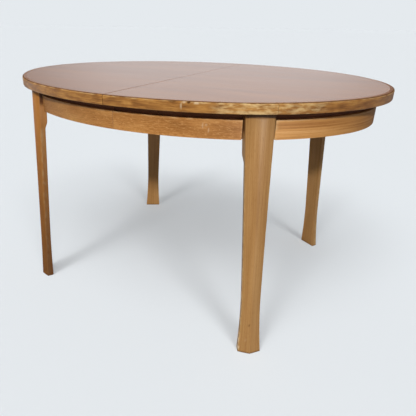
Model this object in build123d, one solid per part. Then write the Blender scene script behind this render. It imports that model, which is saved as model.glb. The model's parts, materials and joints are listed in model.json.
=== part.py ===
from build123d import *
import math
import os

# An oval extending dining table. X is the way the halves pull apart, Y goes across, Z is up.
# The origin is on the floor under the middle of the closed top. Sizes are in millimetres.

# Top
TABLE_LENGTH = 1280.0
TABLE_WIDTH = 980.0
TABLE_HEIGHT = 735.0
TOP_THICKNESS = 27.0
LIPPING_WIDTH = 12.0
LIPPING_TOP_RADIUS = 5.0
LIPPING_BOTTOM_CHAMFER = 1.5
ROUNDING_FLATS = 3  # narrow flats that make up the rounded upper arris of the rim
LIPPING_JOINT_ANGLE = 55.1  # where a side lipping meets an end lipping, as the way that the rim faces

# Frame under the top
OVERHANG = 38.0
SHADOW_GAP = 21.0
APRON_HEIGHT = 50.0
APRON_THICKNESS = 10.0
APRON_LEG_GAP = 0.6  # least gap between the end of an apron and a leg's widest corner
RAIL_THICKNESS = 14.0
RAIL_JOINT_FROM_SEAM = 131.0
TOP_BLOCK_ANGLES = (19.0, 43.0, 74.0)
TOP_BLOCK_LENGTH = 60.0
TOP_BLOCK_DEPTH = 24.0
TOP_BLOCK_HEIGHT = 22.0

# Legs
LEG_DIRECTION = 58.38  # the way that the rim faces where a leg stands, in degrees from the length
LEG_SETBACK = 33.7  # from the rim in to the leg's middle line, at the middle of the rail
LEG_LEAN_X = 0.0575  # the leg's middle comes this far inwards for each millimetre of height
LEG_LEAN_Y = 0.040
LEG_FOOT_WIDTH = 68.0
LEG_ANKLE_WIDTH = 54.0
LEG_TOP_WIDTH = 74.0
LEG_ANKLE_HEIGHT = 170.0
LEG_RIDGE = 11.5  # how far the outer ridge stands in front of the leg's side faces
LEG_OUTER_DEPTH = 17.5  # from the leg's middle line out to the ridge
LEG_INNER_DEPTH = 11.5  # from the leg's middle line in to the flat inner face
LEG_FOOT_FLARE = 2.0  # extra depth at the foot, outside and inside
LEG_KNEE_DEPTH = 6.0  # extra depth of the knee on the inner side
LEG_KNEE_SIDE = 3.8  # how far the knee's inner corners stand out past the side faces
LEG_KNEE_DROP = 35.0  # how far the full knee reaches below the rail
LEG_KNEE_RUN = 28.0  # height over which the knee dies away
LEG_FACET_BOW = 0.25  # least bow of an outer facet
LEG_CROWN_FLATS = 3  # narrow flats that make up the bow of an outer facet
LEG_FOOT_CURVE = 1.75  # how quickly the foot's flare dies away up the leg
LEG_SHANK_CURVE = 1.25  # how slowly the shank widens above the ankle
LEG_FOOT_FLATS = 4  # straight lengths that make up each curved stretch of the leg
LEG_SHANK_FLATS = 3
LEG_KNEE_FLATS = 3

# Leg fixings
BACKING_LENGTH = 90.0
BACKING_DEPTH = 22.0
BACKING_EDGE = 4.0
BOLT_DIAMETER = 8.0
BOLT_FLATS = 8  # flats that make up the round of a bolt and of its holes
BOLT_IN_LEG = 20.0
BOLT_END = 5.0
NUT_ACROSS_FLATS = 13.0
NUT_HEIGHT = 8.0

# Insert leaf, folded once and stored under the top
LEAF_WIDTH = 380.0
LEAF_FOLD_GAP = 0.6
LEAF_HEADROOM = 3.4
LEAF_HINGE_LENGTH = 36.0
LEAF_HINGE_WIDTH = 14.0
LEAF_HINGE_THICKNESS = 2.0
BEARER_THICKNESS = 12.0
BEARER_WIDTH = 60.0
BEARER_FROM_FLAP_END = 45.0

# Dowels that line up the halves and the leaf
DOWEL_DIAMETER = 10.0
DOWEL_SUNK = 22.0
DOWEL_PROUD = 18.0
DOWEL_FROM_MIDDLE = 240.0

# Runners
RUNNER_WIDTH = 21.0
RUNNER_PAST_SEAM = 300.0
RUNNER_END_CLEARANCE = 5.0  # from the plane of the leg bolts' ends
RUNNER_LEAF_CLEARANCE = 4.0
MIDDLE_RUNNER_SETBACK = 40.0
GROOVE_DEPTH = 9.0
GROOVE_HEIGHT = 16.0
PACKER_THICKNESS = 4.0
PACKER_FROM_SEAM = 40.0
PACKER_FROM_END = 20.0
STOP_LENGTH = 16.0  # a block let into the groove near a runner's free end
STOP_FROM_END = 12.0
EXTRA_TRAVEL = 12.0  # room to lower the leaf between the dowels

# Table locks
LOCK_PIVOT_SETBACK = 16.0
LOCK_PIN_SETBACK = 20.0
LOCK_PLATE_WIDTH = 34.0
LOCK_PLATE_LENGTH = 26.0
LOCK_PLATE_THICKNESS = 2.5
LOCK_PIN_DIAMETER = 6.0
LOCK_HEAD_ACROSS_FLATS = 11.0
LOCK_SPACER_HEIGHT = 4.0
LOCK_HEAD_THICKNESS = 2.5
LOCK_LEVER_WIDTH = 16.0
LOCK_LEVER_THICKNESS = 3.0
LOCK_LEVER_PAST_PIN = 12.0
LOCK_TAB_THICKNESS = 2.5
LOCK_TAB_DROP = 12.0
LOCK_NOTCH_ROOM = 1.2

# Gaps and fits
SEAM_GAP = 0.6
GLUE_GAP = 0.2
SLIDE_GAP = 0.4
HOLE_GAP = 0.2
PIVOT_GAP = 0.15
SOCKET_GAP = 0.3

# Sizes that follow from the ones above
UNDERSIDE = TABLE_HEIGHT - TOP_THICKNESS
APRON_TOP = UNDERSIDE - SHADOW_GAP
FRAME_BOTTOM = APRON_TOP - APRON_HEIGHT
APRON_BACK = OVERHANG + APRON_THICKNESS
RAIL_FRONT = APRON_BACK + GLUE_GAP
RAIL_BACK = RAIL_FRONT + RAIL_THICKNESS
BLOCK_FRONT = RAIL_BACK + GLUE_GAP
RAIL_MIDDLE = (FRAME_BOTTOM + UNDERSIDE) / 2
DOWEL_HEIGHT = TABLE_HEIGHT - TOP_THICKNESS / 2
DOWEL_SPOTS = (-DOWEL_FROM_MIDDLE, DOWEL_FROM_MIDDLE)
TRAVEL = LEAF_WIDTH + DOWEL_PROUD + EXTRA_TRAVEL


# The rim is an oval of tangent arcs: one round each end, one along each side and a shoulder between them
HALF_LENGTH = TABLE_LENGTH / 2
HALF_WIDTH = TABLE_WIDTH / 2
END_RADIUS = HALF_WIDTH**2 / HALF_LENGTH
SIDE_RADIUS = HALF_LENGTH**2 / HALF_WIDTH
SHOULDER_RADIUS = math.sqrt(HALF_LENGTH * HALF_WIDTH)
END_CENTRE = Vector(HALF_LENGTH - END_RADIUS, 0, 0)
SIDE_CENTRE = Vector(0, HALF_WIDTH - SIDE_RADIUS, 0)


def shoulder_centre():
    """The point from which the shoulder arc is tangent to the end arc and to the side arc."""
    chord = SIDE_CENTRE - END_CENTRE
    from_end = SHOULDER_RADIUS - END_RADIUS
    from_side = SIDE_RADIUS - SHOULDER_RADIUS
    along = (from_end**2 - from_side**2 + chord.length**2) / (2 * chord.length)
    aside = math.sqrt(from_end**2 - along**2)
    onward = chord.normalized()
    return END_CENTRE + onward * along + Vector(onward.Y, -onward.X, 0) * aside


def direction_of(vector):
    return math.degrees(math.atan2(vector.Y, vector.X))


SHOULDER_CENTRE = shoulder_centre()
SHOULDER_START = direction_of(END_CENTRE - SHOULDER_CENTRE)
SHOULDER_END = direction_of(SHOULDER_CENTRE - SIDE_CENTRE)
OVAL_ARCS = [
    (END_CENTRE, END_RADIUS, SHOULDER_START),
    (SHOULDER_CENTRE, SHOULDER_RADIUS, SHOULDER_END),
    (SIDE_CENTRE, SIDE_RADIUS, 90.0),
]


def oval_normal(direction):
    return Vector(1, 0, 0).rotate(Axis.Z, direction)


def oval_point(inset, direction):
    """The point inset from the rim where the rim faces a direction, in degrees from the X axis."""
    outward = oval_normal(direction)
    steepness = math.degrees(math.atan2(abs(outward.Y), abs(outward.X)))
    for centre, radius, arc_end in OVAL_ARCS:
        if steepness <= arc_end:
            break
    side_x = math.copysign(1, outward.X)
    side_y = math.copysign(1, outward.Y)
    return Vector(side_x * centre.X, side_y * centre.Y, 0) + outward * (radius - inset)


def oval_face(inset, height):
    quarter = [-SHOULDER_START, SHOULDER_START, SHOULDER_END]
    breaks = quarter + [180 - SHOULDER_END] + [180 + place for place in quarter]
    breaks += [360 - SHOULDER_END, 360 - SHOULDER_START]
    arcs = [
        ThreePointArc(*[oval_point(inset, place) for place in (start, (start + end) / 2, end)])
        for start, end in zip(breaks, breaks[1:])
    ]
    return Pos(0, 0, height) * make_face(arcs)


def oval_slab(inset, bottom, top):
    return extrude(oval_face(inset, bottom), top - bottom)


def oval_band(outer_inset, inner_inset, bottom, top):
    return oval_slab(outer_inset, bottom, top) - oval_slab(inner_inset, bottom, top)


def block(x_range, y_range, z_range):
    """A box given by its two limits along each axis."""
    ranges = (x_range, y_range, z_range)
    middle = [(low + high) / 2 for low, high in ranges]
    return Pos(*middle) * Box(*[high - low for low, high in ranges])


def upright(x, y, bottom, top, diameter):
    return Pos(x, y, (bottom + top) / 2) * Cylinder(diameter / 2, top - bottom)


def wedge(start, end, start_trim, end_trim):
    """A tall prism over the stretch of the frame between two directions, square to it at both ends."""
    reach = 2 * RAIL_BACK
    steps = 6

    def end_line(angle, shift):
        outward = oval_normal(angle)
        onward = Vector(-outward.Y, outward.X, 0)
        foot = oval_point(OVERHANG, angle) + onward * shift
        return foot - outward * reach, foot + outward * reach

    start_inner, start_outer = end_line(start, start_trim)
    end_inner, end_outer = end_line(end, -end_trim)
    between = [start + (end - start) * step / steps for step in range(1, steps)]
    outside = [oval_point(OVERHANG, angle) + oval_normal(angle) * reach for angle in between]
    outline = Polyline(start_inner, start_outer, *outside, end_outer, end_inner, close=True)
    return extrude(make_face(outline), TABLE_HEIGHT)


def to_left(shape):
    return mirror(shape, about=Plane.YZ)


def to_back(shape):
    return mirror(shape, about=Plane.XZ)


nodes = {}


def add_halves(name, shape):
    """Keeps a right-hand piece and its left-hand mirror image."""
    nodes[f"right_{name}"] = shape
    nodes[f"left_{name}"] = to_left(shape)


def add_quarters(name, shape):
    """Keeps a right-hand front piece and its three mirror images."""
    add_halves(f"front_{name}", shape)
    add_halves(f"back_{name}", to_back(shape))


# Top panels: half ovals, bored at the seam for the dowels

def dowel_holes(depth, gap):
    holes = [
        Pos(0, place, DOWEL_HEIGHT) * Rot(0, 90, 0) * Cylinder(DOWEL_DIAMETER / 2 + gap, 2 * depth)
        for place in DOWEL_SPOTS
    ]
    return Part() + holes


right_side = block(
    (SEAM_GAP / 2, TABLE_LENGTH), (-TABLE_WIDTH, TABLE_WIDTH), (0, TABLE_HEIGHT)
)
half_panel = oval_slab(LIPPING_WIDTH + GLUE_GAP, UNDERSIDE, TABLE_HEIGHT) & right_side
nodes["right_top_panel"] = half_panel - dowel_holes(DOWEL_PROUD + SOCKET_GAP, SOCKET_GAP)
nodes["left_top_panel"] = to_left(half_panel) - dowel_holes(DOWEL_SUNK + HOLE_GAP, HOLE_GAP)
nodes["seam_dowels"] = Part() + [
    Pos((DOWEL_PROUD - DOWEL_SUNK) / 2, place, DOWEL_HEIGHT)
    * Rot(0, 90, 0)
    * Cylinder(DOWEL_DIAMETER / 2, DOWEL_SUNK + DOWEL_PROUD)
    for place in DOWEL_SPOTS
]

# Lipping: a band round the rim with rounded arrises, in a front, an end and a back length on each half

rounding_turns = [math.radians(90 * flat / ROUNDING_FLATS) for flat in range(ROUNDING_FLATS + 1)]
rim_stations = [(LIPPING_BOTTOM_CHAMFER, UNDERSIDE), (0, UNDERSIDE + LIPPING_BOTTOM_CHAMFER)]
rim_stations += [
    (LIPPING_TOP_RADIUS * (1 - math.cos(turn)), TABLE_HEIGHT - LIPPING_TOP_RADIUS * (1 - math.sin(turn)))
    for turn in rounding_turns
]
rounded_top = loft([oval_face(inset, height) for inset, height in rim_stations], ruled=True)
lipping_band = rounded_top - oval_slab(LIPPING_WIDTH, UNDERSIDE, TABLE_HEIGHT)
lipping_joint = LIPPING_JOINT_ANGLE
add_quarters(
    "lipping", lipping_band & wedge(-90, -lipping_joint, SEAM_GAP / 2, GLUE_GAP / 2)
)
add_halves(
    "end_lipping", lipping_band & wedge(-lipping_joint, lipping_joint, GLUE_GAP / 2, GLUE_GAP / 2)
)


# Legs: lofted sections, each a flat inner face, two side faces and two facets that meet at a ridge

LEG_ANGLE = -LEG_DIRECTION
LEG_OUTWARD = oval_normal(LEG_ANGLE)
LEG_AT_RAIL = oval_point(LEG_SETBACK, LEG_ANGLE)
KNEE_TOP = FRAME_BOTTOM - LEG_KNEE_DROP
KNEE_BOTTOM = KNEE_TOP - LEG_KNEE_RUN


def leg_middle(height):
    drop = RAIL_MIDDLE - height
    return Vector(LEG_AT_RAIL.X + LEG_LEAN_X * drop, LEG_AT_RAIL.Y - LEG_LEAN_Y * drop, height)


def leg_section(height):
    foot_share = max(0.0, 1 - height / LEG_ANKLE_HEIGHT) ** LEG_FOOT_CURVE
    above_ankle = max(0.0, height - LEG_ANKLE_HEIGHT)
    top_share = (above_ankle / (UNDERSIDE - LEG_ANKLE_HEIGHT)) ** LEG_SHANK_CURVE
    knee_share = min(1.0, max(0.0, (height - KNEE_BOTTOM) / LEG_KNEE_RUN))
    knee_share = knee_share * knee_share * (3 - 2 * knee_share)
    width = (
        LEG_ANKLE_WIDTH
        + (LEG_FOOT_WIDTH - LEG_ANKLE_WIDTH) * foot_share
        + (LEG_TOP_WIDTH - LEG_ANKLE_WIDTH) * top_share
    )
    ridge = LEG_OUTER_DEPTH + LEG_FOOT_FLARE * foot_share
    inner = -LEG_INNER_DEPTH - LEG_FOOT_FLARE * foot_share - LEG_KNEE_DEPTH * knee_share
    corner = ridge - LEG_RIDGE
    # The two facets bow out from nearly flat at the foot to one round crown at the top
    half_facet = math.hypot(width / 2, LEG_RIDGE) / 2
    crown_radius = 2 * half_facet**2 / LEG_RIDGE
    full_bow = crown_radius - math.sqrt(crown_radius**2 - half_facet**2)
    bow = LEG_FACET_BOW + (full_bow - LEG_FACET_BOW) * height / UNDERSIDE
    lean = math.atan2(LEG_RIDGE, width / 2)
    facet = []
    for flat in range(LEG_CROWN_FLATS):
        share = flat / LEG_CROWN_FLATS
        rise = bow * 4 * share * (1 - share)
        aside = width / 2 * (1 - share) + rise * math.sin(lean)
        outward = corner + LEG_RIDGE * share + rise * math.cos(lean)
        facet.append((aside, outward))
    heel = width / 2 + LEG_KNEE_SIDE * knee_share
    other_facet = [(-x, y) for x, y in reversed(facet)]
    outline = Polyline((-heel, inner), (heel, inner), *facet, (0, ridge), *other_facet, close=True)
    across = (LEG_OUTWARD.Y, -LEG_OUTWARD.X, 0)
    return Plane(leg_middle(height), x_dir=across, z_dir=(0, 0, 1)) * make_face(outline)


def leg_stretch(low, high, flats):
    heights = [low + (high - low) * step / flats for step in range(flats + 1)]
    return loft([leg_section(height) for height in heights], ruled=True)


leg_blank = leg_stretch(0, LEG_ANKLE_HEIGHT, LEG_FOOT_FLATS)
leg_blank += leg_stretch(LEG_ANKLE_HEIGHT, KNEE_BOTTOM, LEG_SHANK_FLATS)
leg_blank += leg_stretch(KNEE_BOTTOM, KNEE_TOP, LEG_KNEE_FLATS)
leg_blank += leg_stretch(KNEE_TOP, UNDERSIDE, 1)
rail_housing = oval_slab(RAIL_FRONT - GLUE_GAP, FRAME_BOTTOM, UNDERSIDE)


# Leg fixings: a bolt from each leg goes in through the rail and a backing block to a hexagon nut

def inwards_from(depth):
    """A plane that faces the middle of the table, depth behind the apron's face at a leg."""
    place = oval_point(OVERHANG, LEG_ANGLE) - LEG_OUTWARD * depth
    return Plane(Vector(place.X, place.Y, RAIL_MIDDLE), x_dir=(0, 0, 1), z_dir=-LEG_OUTWARD)


def bolt_round(diameter):
    return RegularPolygon(diameter / 2, BOLT_FLATS, major_radius=False)


def rod_inwards(start, end, diameter):
    return inwards_from(start) * extrude(bolt_round(diameter), end - start)


backing_face = BLOCK_FRONT - OVERHANG + BACKING_DEPTH
bolt_start = RAIL_FRONT - OVERHANG - BOLT_IN_LEG
bolt_stop = backing_face + NUT_HEIGHT + BOLT_END
hole_diameter = BOLT_DIAMETER + 2 * HOLE_GAP
bolt_hole = rod_inwards(bolt_start - HOLE_GAP, bolt_stop, hole_diameter)
leg_bolt = rod_inwards(bolt_start, bolt_stop, BOLT_DIAMETER)
nut_outline = RegularPolygon(NUT_ACROSS_FLATS / 2, 6, major_radius=False) - bolt_round(hole_diameter)
leg_nut = inwards_from(backing_face) * extrude(nut_outline, NUT_HEIGHT)
add_quarters("leg", leg_blank - rail_housing - bolt_hole)
backing_blank = inwards_from(backing_face - BACKING_DEPTH) * Box(
    UNDERSIDE - FRAME_BOTTOM - 2 * BACKING_EDGE, BACKING_LENGTH, 2 * BACKING_DEPTH
)
add_quarters(
    "backing_block", (backing_blank & oval_slab(BLOCK_FRONT, FRAME_BOTTOM, UNDERSIDE)) - bolt_hole
)
add_halves("leg_bolts", Part() + [leg_bolt, to_back(leg_bolt)])
add_halves("leg_nuts", Part() + [leg_nut, to_back(leg_nut)])

# Apron strips between the legs, and the dark rail behind them

leg_room = LEG_TOP_WIDTH / 2 + LEG_KNEE_SIDE + APRON_LEG_GAP
apron_band = oval_band(OVERHANG, APRON_BACK, FRAME_BOTTOM, APRON_TOP)
add_quarters("apron", apron_band & wedge(-90, LEG_ANGLE, SEAM_GAP / 2, leg_room))
add_halves("end_apron", apron_band & wedge(LEG_ANGLE, -LEG_ANGLE, leg_room, leg_room))

rail_joint = -math.degrees(math.acos(RAIL_JOINT_FROM_SEAM / (SIDE_RADIUS - RAIL_FRONT)))
rail_band = oval_band(RAIL_FRONT, RAIL_BACK, FRAME_BOTTOM, UNDERSIDE)
add_quarters("rail", rail_band & wedge(-90, rail_joint, SEAM_GAP / 2, GLUE_GAP / 2))
front_end_rail = rail_band & (wedge(rail_joint, 0, GLUE_GAP / 2, 0) - bolt_hole)
add_halves("end_rail", front_end_rail + to_back(front_end_rail))


# Blocks that fix the top to the rail

def top_block(angle):
    outward = oval_normal(angle)
    place = oval_point(BLOCK_FRONT, angle)
    middle = Vector(place.X, place.Y, UNDERSIDE - TOP_BLOCK_HEIGHT / 2)
    blank = Plane(middle, x_dir=outward, z_dir=(0, 0, 1)) * Box(
        2 * TOP_BLOCK_DEPTH, TOP_BLOCK_LENGTH, TOP_BLOCK_HEIGHT
    )
    return blank & oval_slab(BLOCK_FRONT, FRAME_BOTTOM, UNDERSIDE)


add_halves("top_blocks", Part() + [top_block(side * a) for a in TOP_BLOCK_ANGLES for side in (-1, 1)])

# Runners: the left member is nearest the leaf, the middle one slides in it and the right one outside

runner_top = UNDERSIDE - PACKER_THICKNESS
leaf_stack = 2 * TOP_THICKNESS + LEAF_FOLD_GAP
runner_bottom = UNDERSIDE - LEAF_HEADROOM - leaf_stack
left_face = LEAF_WIDTH / 2 + DOWEL_PROUD + RUNNER_LEAF_CLEARANCE
middle_face = left_face + RUNNER_WIDTH + SLIDE_GAP
right_face = middle_face + RUNNER_WIDTH + SLIDE_GAP
right_back = right_face + RUNNER_WIDTH
bolt_line = oval_point(OVERHANG, LEG_ANGLE).dot(LEG_OUTWARD) - bolt_stop
runner_end = (bolt_line + right_back * LEG_OUTWARD.Y) / LEG_OUTWARD.X - RUNNER_END_CLEARANCE
middle_end = runner_end - MIDDLE_RUNNER_SETBACK
groove_middle = (runner_top + runner_bottom) / 2
groove_range = (groove_middle - GROOVE_HEIGHT / 2, groove_middle + GROOVE_HEIGHT / 2)
tongue_range = (groove_range[0] + SLIDE_GAP, groove_range[1] - SLIDE_GAP)
tongue_depth = GROOVE_DEPTH - SLIDE_GAP
stop_range = (RUNNER_PAST_SEAM - STOP_FROM_END - STOP_LENGTH, RUNNER_PAST_SEAM - STOP_FROM_END)
tongue_lead = stop_range[0] - TRAVEL / 2 - SLIDE_GAP

runner_heights = (runner_bottom, runner_top)
left_bar = block((-runner_end, RUNNER_PAST_SEAM), (left_face, left_face + RUNNER_WIDTH), runner_heights)
left_groove_floor = left_face + RUNNER_WIDTH - GROOVE_DEPTH
left_bar -= block((-runner_end, RUNNER_PAST_SEAM), (left_groove_floor, middle_face), groove_range)
left_stop = block(stop_range, (left_groove_floor, left_face + RUNNER_WIDTH), groove_range)

right_bar = block((-RUNNER_PAST_SEAM, runner_end), (right_face, right_back), runner_heights)
right_groove_floor = right_face + GROOVE_DEPTH
right_bar -= block((-RUNNER_PAST_SEAM, runner_end), (right_face, right_groove_floor), groove_range)
right_stop = to_left(block(stop_range, (right_face, right_groove_floor), groove_range))

middle_outside = middle_face + RUNNER_WIDTH
middle_bar = block((-middle_end, middle_end), (middle_face, middle_outside), runner_heights)
middle_bar += block(
    (-middle_end, tongue_lead), (middle_face - SLIDE_GAP - tongue_depth, middle_face), tongue_range
)
middle_bar += block(
    (-tongue_lead, middle_end), (middle_outside, middle_outside + SLIDE_GAP + tongue_depth), tongue_range
)

for side, bar in (("left", left_bar), ("middle", middle_bar), ("right", right_bar)):
    nodes[f"{side}_back_runner"] = bar
    nodes[f"{side}_front_runner"] = to_back(bar)
nodes["left_runner_stops"] = Part() + [left_stop, to_back(left_stop)]
nodes["right_runner_stops"] = Part() + [right_stop, to_back(right_stop)]

packer_range = (PACKER_FROM_SEAM, runner_end - PACKER_FROM_END)
packer_heights = (runner_top, UNDERSIDE)
right_packer = block(packer_range, (right_face, right_back), packer_heights)
left_packer = to_left(block(packer_range, (left_face, left_face + RUNNER_WIDTH), packer_heights))
nodes["right_runner_packers"] = Part() + [right_packer, to_back(right_packer)]
nodes["left_runner_packers"] = Part() + [left_packer, to_back(left_packer)]

# Insert leaf: two flaps folded together, turned a quarter and laid on bearers under the left runners

flap_length = TABLE_WIDTH / 2 - SEAM_GAP
flap_ends = (-flap_length / 2, flap_length / 2)
panel_ends = (flap_ends[0], flap_ends[1] - LIPPING_WIDTH - GLUE_GAP)
lipping_ends = (flap_ends[1] - LIPPING_WIDTH, flap_ends[1])
leaf_sides = (-LEAF_WIDTH / 2, LEAF_WIDTH / 2)
flap_dowel_x = panel_ends[0] + DOWEL_FROM_MIDDLE


def crosswise(x, y_range, height, diameter):
    low, high = y_range
    return Pos(x, (low + high) / 2, height) * Rot(90, 0, 0) * Cylinder(diameter / 2, high - low)


leaf_lippings = []
leaf_dowels = []
upper_bottom = runner_bottom + TOP_THICKNESS + LEAF_FOLD_GAP
for name, flap_bottom in (("lower", runner_bottom), ("upper", upper_bottom)):
    flap_heights = (flap_bottom, flap_bottom + TOP_THICKNESS)
    flap = block(panel_ends, leaf_sides, flap_heights)
    flap_middle = flap_bottom + TOP_THICKNESS / 2
    hole_y = (LEAF_WIDTH / 2 - DOWEL_SUNK - HOLE_GAP, LEAF_WIDTH / 2)
    socket_y = (-LEAF_WIDTH / 2, -LEAF_WIDTH / 2 + DOWEL_PROUD + SOCKET_GAP)
    flap -= crosswise(flap_dowel_x, hole_y, flap_middle, DOWEL_DIAMETER + 2 * HOLE_GAP)
    flap -= crosswise(flap_dowel_x, socket_y, flap_middle, DOWEL_DIAMETER + 2 * SOCKET_GAP)
    dowel_y = (LEAF_WIDTH / 2 - DOWEL_SUNK, LEAF_WIDTH / 2 + DOWEL_PROUD)
    leaf_dowels.append(crosswise(flap_dowel_x, dowel_y, flap_middle, DOWEL_DIAMETER))
    nodes[f"insert_leaf_{name}_flap"] = flap
    strip = block(lipping_ends, leaf_sides, flap_heights)
    outer_edges = strip.faces().sort_by(Axis.X)[-1].edges().filter_by(Axis.Y)
    leaf_lippings.append(chamfer(outer_edges, LIPPING_BOTTOM_CHAMFER))
nodes["insert_leaf_lippings"] = Part() + leaf_lippings
nodes["insert_leaf_dowels"] = Part() + leaf_dowels

fold_height = runner_bottom + TOP_THICKNESS + LEAF_FOLD_GAP / 2
hinge_heights = (fold_height - LEAF_HINGE_LENGTH / 2, fold_height + LEAF_HINGE_LENGTH / 2)
hinge_x = (panel_ends[0] + LEAF_HINGE_WIDTH / 2, panel_ends[0] + LEAF_HINGE_WIDTH * 3 / 2)
hinge = block(hinge_x, (leaf_sides[1], leaf_sides[1] + LEAF_HINGE_THICKNESS), hinge_heights)
hinge = chamfer(hinge.edges().filter_by(Axis.Y), LEAF_HINGE_WIDTH / 4)
nodes["insert_leaf_hinges"] = Part() + [hinge, to_back(hinge)]

bearer_heights = (runner_bottom - BEARER_THICKNESS, runner_bottom)
bearer_start = flap_ends[0] + BEARER_FROM_FLAP_END
bearer = block(
    (bearer_start, bearer_start + BEARER_WIDTH),
    (-left_face - RUNNER_WIDTH, left_face + RUNNER_WIDTH),
    bearer_heights,
)
nodes["leaf_bearers"] = Part() + [bearer, to_left(bearer)]

# Table locks: a notched lever on the left half swings a quarter turn onto a pin on the right half

lock_y = (right_back + HALF_WIDTH - RAIL_BACK) / 2
plate_bottom = UNDERSIDE - LOCK_PLATE_THICKNESS
lever_top = plate_bottom - LOCK_SPACER_HEIGHT - SLIDE_GAP
lever_bottom = lever_top - LOCK_LEVER_THICKNESS
head_top = lever_bottom - SLIDE_GAP
pin_reach = LOCK_PIVOT_SETBACK + LOCK_PIN_SETBACK
lever_length = pin_reach + LOCK_LEVER_PAST_PIN


def lock_plate(x):
    outline = chamfer(
        Rectangle(LOCK_PLATE_LENGTH, LOCK_PLATE_WIDTH).vertices(), LOCK_PIN_DIAMETER / 2
    )
    return Pos(x, lock_y, plate_bottom) * extrude(outline, LOCK_PLATE_THICKNESS)


def lock_hexagon(bottom, height):
    outline = RegularPolygon(LOCK_HEAD_ACROSS_FLATS / 2, 6, major_radius=False)
    return Pos(-LOCK_PIVOT_SETBACK, lock_y, bottom) * extrude(outline, height)


lock_base = lock_plate(-LOCK_PIVOT_SETBACK)
lock_base += lock_hexagon(plate_bottom - LOCK_SPACER_HEIGHT, LOCK_SPACER_HEIGHT)
lock_base += upright(-LOCK_PIVOT_SETBACK, lock_y, head_top, plate_bottom, LOCK_PIN_DIAMETER)
lock_base += lock_hexagon(head_top - LOCK_HEAD_THICKNESS, LOCK_HEAD_THICKNESS)
nodes["lock_bases"] = Part() + [lock_base, to_back(lock_base)]

lock_keeper = lock_plate(LOCK_PIN_SETBACK) + upright(
    LOCK_PIN_SETBACK, lock_y, lever_bottom - LOCK_HEAD_THICKNESS, plate_bottom, LOCK_PIN_DIAMETER
)
nodes["lock_keepers"] = Part() + [lock_keeper, to_back(lock_keeper)]

notch_width = LOCK_PIN_DIAMETER + 2 * LOCK_NOTCH_ROOM
lever_blank = Pos(lever_length / 2 - LOCK_LEVER_WIDTH / 4, 0) * Rectangle(
    lever_length + LOCK_LEVER_WIDTH / 2, LOCK_LEVER_WIDTH
)
lever_outline = chamfer(lever_blank.vertices(), LOCK_LEVER_WIDTH / 4)
lever_outline -= Circle(LOCK_PIN_DIAMETER / 2 + PIVOT_GAP)
lever_outline -= Pos(pin_reach, LOCK_LEVER_WIDTH / 4 - notch_width / 4) * Rectangle(
    notch_width, LOCK_LEVER_WIDTH / 2 + notch_width / 2
)
lever = extrude(lever_outline, LOCK_LEVER_THICKNESS)
lever += block(
    (lever_length - LOCK_TAB_THICKNESS, lever_length),
    (-LOCK_LEVER_WIDTH / 4, LOCK_LEVER_WIDTH / 4),
    (-LOCK_TAB_DROP, LOCK_LEVER_THICKNESS),
)
lever_at_rest = Pos(-LOCK_PIVOT_SETBACK, lock_y, lever_bottom) * Rot(0, 0, -90) * lever
nodes["back_lock_lever"] = lever_at_rest
nodes["front_lock_lever"] = to_back(lever_at_rest)

os.makedirs("parts", exist_ok=True)
for name, shape in sorted(nodes.items()):
    export_step(shape, f"parts/{name}.step")
print(len(nodes), "nodes, the halves pull apart by", TRAVEL, "mm")
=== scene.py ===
# %% [markdown]
# # An oval extending dining table in lacquered wood
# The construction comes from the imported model, which stays where it is.
# This lesson gives it its looks: smooth strips and legs in place of the faceted ones, wood that shows its
# grain, worn arrises, screws, and a studio with a pale floor.

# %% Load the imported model
import json
import math
import random

import bmesh
import bpy
from mathutils import Matrix, Vector


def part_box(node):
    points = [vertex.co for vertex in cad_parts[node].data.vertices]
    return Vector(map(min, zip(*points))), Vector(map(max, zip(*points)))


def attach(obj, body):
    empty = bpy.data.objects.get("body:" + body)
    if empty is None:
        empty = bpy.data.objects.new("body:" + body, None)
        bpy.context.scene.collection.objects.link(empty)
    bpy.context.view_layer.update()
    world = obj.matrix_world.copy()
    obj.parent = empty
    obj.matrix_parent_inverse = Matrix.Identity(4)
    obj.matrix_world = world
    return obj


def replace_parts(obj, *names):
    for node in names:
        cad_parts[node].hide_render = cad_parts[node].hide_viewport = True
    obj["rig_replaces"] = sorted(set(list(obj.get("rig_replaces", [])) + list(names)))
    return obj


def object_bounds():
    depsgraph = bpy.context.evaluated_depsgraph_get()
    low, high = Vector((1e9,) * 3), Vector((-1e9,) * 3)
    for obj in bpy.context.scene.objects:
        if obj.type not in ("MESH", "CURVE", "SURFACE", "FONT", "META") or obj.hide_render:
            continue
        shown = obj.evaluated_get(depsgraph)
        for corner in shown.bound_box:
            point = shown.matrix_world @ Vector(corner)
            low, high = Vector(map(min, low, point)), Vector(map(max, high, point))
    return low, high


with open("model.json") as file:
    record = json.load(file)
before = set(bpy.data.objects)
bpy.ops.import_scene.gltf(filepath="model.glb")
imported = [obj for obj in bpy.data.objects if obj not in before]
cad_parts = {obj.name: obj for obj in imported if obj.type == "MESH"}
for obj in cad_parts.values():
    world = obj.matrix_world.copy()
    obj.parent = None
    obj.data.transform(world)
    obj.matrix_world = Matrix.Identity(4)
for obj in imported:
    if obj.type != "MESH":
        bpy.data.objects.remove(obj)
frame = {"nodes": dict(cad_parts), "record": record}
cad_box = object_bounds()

MM = 0.001
record = frame["record"]
slot_of = {row["node"]: row["material_slot"] for row in record["subparts"]}
body_of = {node: body for body, members in record["behaviour"]["bodies"].items() for node in members}

# %% [markdown]
# ## Colours and nodes
# Colours are written as the sRGB hex values that a picture editor shows, and one function turns them linear.
# Another adds any node with its settings and links, so that a material reads as a list of layers.

# %% Helpers for materials


def linear(hex_colour):
    channels = [int(hex_colour[i : i + 2], 16) / 255 for i in (1, 3, 5)]
    return [c / 12.92 if c <= 0.04045 else ((c + 0.055) / 1.055) ** 2.4 for c in channels] + [1.0]


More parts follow.
